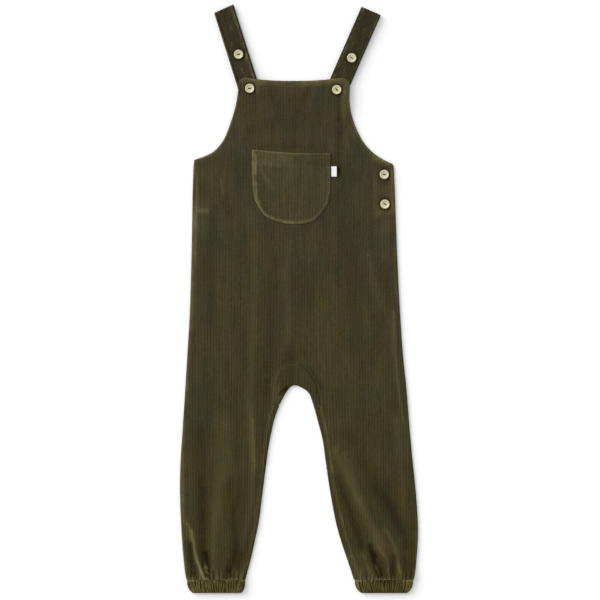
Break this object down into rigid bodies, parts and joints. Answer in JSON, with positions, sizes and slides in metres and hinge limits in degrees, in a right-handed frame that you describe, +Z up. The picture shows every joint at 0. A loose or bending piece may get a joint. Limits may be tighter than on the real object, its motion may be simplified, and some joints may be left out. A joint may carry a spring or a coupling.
{
  "type": "toddler overalls",
  "caption": "Toddler overalls in olive ribbed velour, laid flat front up, with a bib, button straps, a patch pocket, a crotch gusset and elastic cuffs.",
  "frame": {"origin": "bottom centre of the bounding box, on the surface that the garment lies on", "axes": "+X across the garment to the viewer's right, +Y from the leg hems towards the straps, +Z up from the surface through the front"},
  "size_m": [0.2736, 0.676, 0.0103],
  "materials": {
    "velour_body": "dark olive stretch velour with ribs that run up the garment",
    "velour_pocket": "the same velour, its nap slightly lighter",
    "velour_strap": "the same velour, its nap slightly darker",
    "velour_cuff": "the same velour, gathered on elastic",
    "button": "cream, satin, two holes",
    "woven_label": "white woven tape, blank"
  },
  "bodies": {
    "root": {"back": "velour_body", "front": "velour_body", "gusset": "velour_body", "pocket": "velour_pocket", "label": "woven_label", "cuff_left": "velour_cuff", "cuff_right": "velour_cuff", "strap_left": "velour_strap", "strap_right": "velour_strap", "button_strap_left": "button", "button_bib_left": "button", "button_strap_right": "button", "button_bib_right": "button", "button_side_upper": "button", "button_side_lower": "button"}
  },
  "joints": []
}
